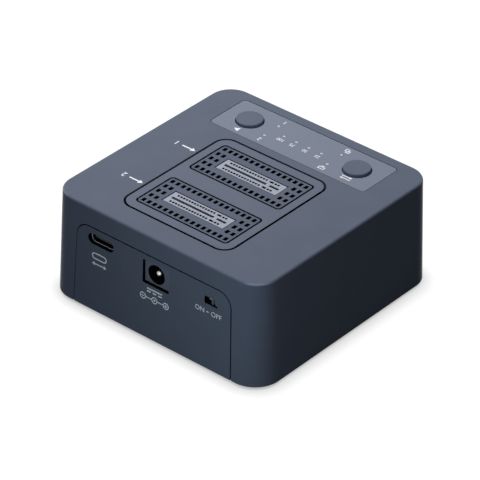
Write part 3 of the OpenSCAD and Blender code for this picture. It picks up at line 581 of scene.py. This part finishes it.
def letters(words, height):
    """Figures or plain words of a height, about their middle."""
    curve = bpy.data.curves.new("letters", "FONT")
    curve.body = words
    curve.resolution_u = LETTER_STEPS
    holder = bpy.data.objects.new("letters", curve)
    bpy.context.scene.collection.objects.link(holder)
    bpy.context.view_layer.update()
    outline = holder.to_mesh()
    corners = [(v.co.x, v.co.y) for v in outline.vertices]
    faces = [[corners[i] for i in polygon.vertices] for polygon in outline.polygons]
    holder.to_mesh_clear()
    bpy.data.objects.remove(holder)
    bpy.data.curves.remove(curve)
    low_x, high_x = min(c[0] for c in corners), max(c[0] for c in corners)
    low_y, high_y = min(c[1] for c in corners), max(c[1] for c in corners)
    scale = height / (high_y - low_y)
    middle_x, middle_y = (low_x + high_x) / 2, (low_y + high_y) / 2
    return [[((x - middle_x) * scale, (y - middle_y) * scale) for x, y in face] for face in faces]


def printed(name, shape, place):
    """Lays a shape as a thin sheet of ink on the surface that place gives: origin, X, Y and outward Z."""
    mesh = bpy.data.meshes.new(name)
    build = bmesh.new()
    for face in shape:
        build.faces.new([build.verts.new((x * MM, y * MM, -INK_SUNK * MM)) for x, y in face])
    bmesh.ops.remove_doubles(build, verts=build.verts, dist=WELD_REACH * MM)
    raised = bmesh.ops.extrude_face_region(build, geom=build.faces[:])["geom"]
    lift = [item for item in raised if isinstance(item, bmesh.types.BMVert)]
    bmesh.ops.translate(build, vec=(0, 0, INK_T * MM), verts=lift)
    bmesh.ops.recalc_face_normals(build, faces=build.faces)
    build.to_mesh(mesh)
    build.free()
    mesh.materials.append(MARK_INK)
    piece = bpy.data.objects.new(name, mesh)
    piece.matrix_world = place
    bpy.context.scene.collection.objects.link(piece)
    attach(piece, HOUSING)


def on_top(x, y, z):
    """A place on a level face, read from the front."""
    return Matrix.Translation(Vector((x, y, z)) * MM)


def on_rear(x, z):
    """A place on the leaning rear face, read from the rear."""
    y = REAR_Y - DRAFT * (z - RIM_Z) / (TOP_Z - RIM_Z)
    axes = Matrix(((-1, 0, 0), (0, -sin(LEAN), cos(LEAN)), (0, cos(LEAN), sin(LEAN)))).transposed()
    return Matrix.Translation(Vector((x, y, z)) * MM) @ axes.to_4x4()


# Places of the marks are in mm, as X and Y on a level face and as X and Z on the rear face

# Widths of the marks' lines
THIN_LINE = 0.25
FINE_LINE = 0.3
BOLD_LINE = 0.4
ARROW_LINE = 0.5
DASH_LINE = 0.42

# Bay numbers beside the sockets, each with an arrow to its bay
BAY_MARK_X = 25.0
BAY_FIGURE_H = 2.0
BAY_FIGURE_X = 3.2
BAY_ARROW_X = -1.4
for bay, bay_y in (("1", -3.25), ("2", 19.65)):
    shape = moved(turned(arrow(length=5.0, head=1.8, line=ARROW_LINE)), BAY_ARROW_X, 0)
    shape += moved(letters(bay, BAY_FIGURE_H), BAY_FIGURE_X, 0)
    printed(f"bay_mark_{bay}", shape, on_top(BAY_MARK_X, bay_y, TOP_Z))

# Signs beside the two buttons
SWAP_STEP = 0.55
swap_arrow = arrow(length=3.6, head=1.0, line=FINE_LINE)
swap_sign = moved(swap_arrow, 0, SWAP_STEP) + moved(turned(swap_arrow), 0, -SWAP_STEP)
printed("start_mark", triangle(width=1.7, height=1.8), on_top(20.2, -20.6, OVERLAY_Z))
printed("mode_mark", swap_sign, on_top(-20.5, -21.2, OVERLAY_Z))

# Figures and signs beside the lights
STATE_FIGURE_H = 1.5
LIGHT_FIGURE_H = 1.25
LIGHT_FIGURE_Y = -24.5
for name, shape, x, y in (
    ("light_mark_1", letters("1", STATE_FIGURE_H), 11.6, -32.5),
    ("light_mark_2", letters("2", STATE_FIGURE_H), 11.6, -20.75),
    ("light_mark_copy", copy_sign(size=1.9, line=THIN_LINE), -12.0, -32.6),
    ("light_mark_screen", screen_sign(width=2.2, height=1.7, line=THIN_LINE), -11.8, -20.9),
):
    printed(name, shape, on_top(x, y, OVERLAY_Z))
for figure, figure_x in (("100", 6.8), ("75", 2.25), ("50", -2.45), ("25", -7.15)):
    place = on_top(figure_x, LIGHT_FIGURE_Y, OVERLAY_Z)
    printed(f"progress_mark_{figure}", letters(figure, LIGHT_FIGURE_H), place)

# Signs under the data port and the power inlet
PORT_SIGN_STEP = 1.3
port_signs = moved(pill(width=5.2, height=1.8, line=BOLD_LINE), 0, PORT_SIGN_STEP)
port_signs += moved(two_way_arrow(length=5.6, head=1.3, line=BOLD_LINE), 0, -PORT_SIGN_STEP)
printed("data_port_mark", port_signs, on_rear(20.1, 18.3))
inlet_sign = direct_current_sign(width=5.6, height=0.95, line=DASH_LINE)
printed("power_inlet_mark", inlet_sign, on_rear(-0.9, 17.25))

# Polarity sign: a minus and a plus in rings, joined to a ring with a spot
RING_R = 0.95
SPOT_R = 0.35
POLE_STEP = 4.3
POLE_BAR = 0.9
PLUS_ARM = 0.3
pole_link = bar(POLE_STEP - 2 * RING_R - FINE_LINE, FINE_LINE)
poles = ring(RING_R, FINE_LINE) + disc(SPOT_R)
for side in (-1, 1):
    poles += moved(ring(RING_R, FINE_LINE) + bar(POLE_BAR, FINE_LINE), side * POLE_STEP, 0)
    poles += moved(bar(PLUS_ARM, FINE_LINE), POLE_STEP, side * PLUS_ARM)
    poles += moved(pole_link, side * POLE_STEP / 2, 0)
printed("polarity_mark", poles, on_rear(-0.95, 14.6))

# Words under the switch
SWITCH_MARK_Z = 19.75
SWITCH_LETTER_H = 1.55
printed("switch_mark_on", letters("ON", SWITCH_LETTER_H), on_rear(-17.6, SWITCH_MARK_Z))
printed("switch_mark_dash", bar(width=0.8, height=FINE_LINE), on_rear(-20.5, SWITCH_MARK_Z))
printed("switch_mark_off", letters("OFF", SWITCH_LETTER_H), on_rear(-23.7, SWITCH_MARK_Z))


# Floor, light and camera

# Side of the floor and reach of the painted contact shadow close to the part, in metres
FLOOR_SPAN = 6.0
PAINTED_CONTACT_SHADOW = 0.005
# Glow of the floor in that painted shadow and away from it
SHADOW_GLOW = 0.34
FLOOR_GLOW = 0.97
# Colour of the floor where it shows, and where it only throws light back
FLOOR_GREY = linear(95, 95, 95)
FLOOR_BOUNCE = linear(56, 64, 74)
# Light of the room, and of the backdrop that shows behind the part
ROOM_TINT = linear(180, 210, 232)
ROOM_LIGHT = 0.05
BACKDROP_LIGHT = 1.0


def seen_directly(tree):
    """1 on rays that show a surface, also in gloss or through glass, and 0 on rays that carry light."""
    path = tree.nodes.new("ShaderNodeLightPath")
    total = path.outputs["Is Camera Ray"]
    for ray in ("Is Glossy Ray", "Is Transmission Ray"):
        either = tree.nodes.new("ShaderNodeMath")
        either.operation = "MAXIMUM"
        tree.links.new(total, either.inputs[0])
        tree.links.new(path.outputs[ray], either.inputs[1])
        total = either.outputs[0]
    return total


def floor_material():
    """Pale paper that shows white, with the lamps' shadow and a painted contact shadow where its glow dims
    near the part, and throws little light back up.
    """
    material = bpy.data.materials.new("floor")
    material.use_nodes = True
    tree = material.node_tree
    tree.nodes.clear()
    shown = tree.nodes.new("ShaderNodeBsdfDiffuse")
    shown.inputs["Color"].default_value = FLOOR_GREY
    # Painted contact shadow: the floor's glow is dimmed where the part is close
    near = tree.nodes.new("ShaderNodeAmbientOcclusion")
    near.inputs["Distance"].default_value = PAINTED_CONTACT_SHADOW
    fade = tree.nodes.new("ShaderNodeMapRange")
    fade.inputs["To Min"].default_value = SHADOW_GLOW
    fade.inputs["To Max"].default_value = FLOOR_GLOW
    tree.links.new(near.outputs["AO"], fade.inputs["Value"])
    lift = tree.nodes.new("ShaderNodeEmission")
    lift.inputs["Color"].default_value = WHITE
    tree.links.new(fade.outputs["Result"], lift.inputs["Strength"])
    paper = tree.nodes.new("ShaderNodeAddShader")
    dim = tree.nodes.new("ShaderNodeBsdfDiffuse")
    dim.inputs["Color"].default_value = FLOOR_BOUNCE
    choice = tree.nodes.new("ShaderNodeMixShader")
    output = tree.nodes.new("ShaderNodeOutputMaterial")
    tree.links.new(shown.outputs[0], paper.inputs[0])
    tree.links.new(lift.outputs[0], paper.inputs[1])
    tree.links.new(seen_directly(tree), choice.inputs["Fac"])
    tree.links.new(dim.outputs[0], choice.inputs[1])
    tree.links.new(paper.outputs[0], choice.inputs[2])
    tree.links.new(choice.outputs[0], output.inputs["Surface"])
    return material


floor_mesh = bpy.data.meshes.new("floor")
half = FLOOR_SPAN / 2
floor_corners = [(-half, -half, 0), (half, -half, 0), (half, half, 0), (-half, half, 0)]
floor_mesh.from_pydata(floor_corners, [], [(0, 1, 2, 3)])
floor_mesh.materials.append(floor_material())
floor = bpy.data.objects.new("floor", floor_mesh)
bpy.context.scene.collection.objects.link(floor)

world = bpy.data.worlds.new("studio")
bpy.context.scene.world = world
world.use_nodes = True
sky = world.node_tree
sky.nodes.clear()
room = sky.nodes.new("ShaderNodeBackground")
room.inputs["Color"].default_value = ROOM_TINT
room.inputs["Strength"].default_value = ROOM_LIGHT
backdrop = sky.nodes.new("ShaderNodeBackground")
backdrop.inputs["Color"].default_value = WHITE
backdrop.inputs["Strength"].default_value = BACKDROP_LIGHT
choice = sky.nodes.new("ShaderNodeMixShader")
sky_output = sky.nodes.new("ShaderNodeOutputWorld")
sky.links.new(seen_directly(sky), choice.inputs["Fac"])
sky.links.new(room.outputs[0], choice.inputs[1])
sky.links.new(backdrop.outputs[0], choice.inputs[2])
sky.links.new(choice.outputs[0], sky_output.inputs["Surface"])

# Point that the lamps face
AIM = Vector((0.0, 0.0, 0.02))


def softbox(name, place, width, height, watts, tint=(1.0, 1.0, 1.0)):
    """A rectangular lamp that stands at a place, in metres."""
    lamp = bpy.data.lights.new(name, "AREA")
    lamp.shape = "RECTANGLE"
    lamp.size = width
    lamp.size_y = height
    lamp.energy = watts
    lamp.color = tint
    holder = bpy.data.objects.new(name, lamp)
    holder.location = place
    holder.rotation_mode = "QUATERNION"
    holder.rotation_quaternion = (AIM - Vector(place)).to_track_quat("-Z", "Y")
    holder.visible_camera = False
    bpy.context.scene.collection.objects.link(holder)


softbox("key", place=(0.15, -0.05, 0.33), width=0.24, height=0.24, watts=1.03)
softbox("overhead", place=(-0.09, 0.035, 0.58), width=0.06, height=0.06, watts=0.75)
softbox(
    "rear_fill", place=(-0.05, 0.13, 0.045), width=0.08, height=0.06, watts=0.038,
    tint=(0.86, 0.98, 1.06))

# Camera that stands where the photograph was taken from
CAMERA_TURN = radians(39.804)
CAMERA_RISE = radians(33.784)
CAMERA_ROLL = radians(1.003)
CAMERA_AIM = Vector((-18.594, 23.444, 35.0)) * MM
CAMERA_AWAY = 929.98 * MM
FOCUS_PX = 3339.5
IMAGE_PX = 480
SENSOR_MM = 36.0
# Nearest and furthest distance that the camera shows, in metres
CLIP_NEAR = 0.01
CLIP_FAR = 20.0

level = cos(CAMERA_RISE)
back = Vector((-sin(CAMERA_TURN) * level, cos(CAMERA_TURN) * level, sin(CAMERA_RISE)))
right = (-back).cross(Vector((0, 0, 1))).normalized()
up = right.cross(-back)
rolled_right = cos(CAMERA_ROLL) * right + sin(CAMERA_ROLL) * up
rolled_up = cos(CAMERA_ROLL) * up - sin(CAMERA_ROLL) * right
lens = bpy.data.cameras.new("camera")
lens.sensor_width = SENSOR_MM
lens.lens = FOCUS_PX / IMAGE_PX * SENSOR_MM
lens.clip_start = CLIP_NEAR
lens.clip_end = CLIP_FAR
camera = bpy.data.objects.new("camera", lens)
axes = Matrix((rolled_right, rolled_up, back)).transposed()
camera.matrix_world = Matrix.Translation(CAMERA_AIM + back * CAMERA_AWAY) @ axes.to_4x4()
bpy.context.scene.collection.objects.link(camera)
bpy.context.scene.camera = camera
bpy.context.scene.view_settings.view_transform = "Standard"
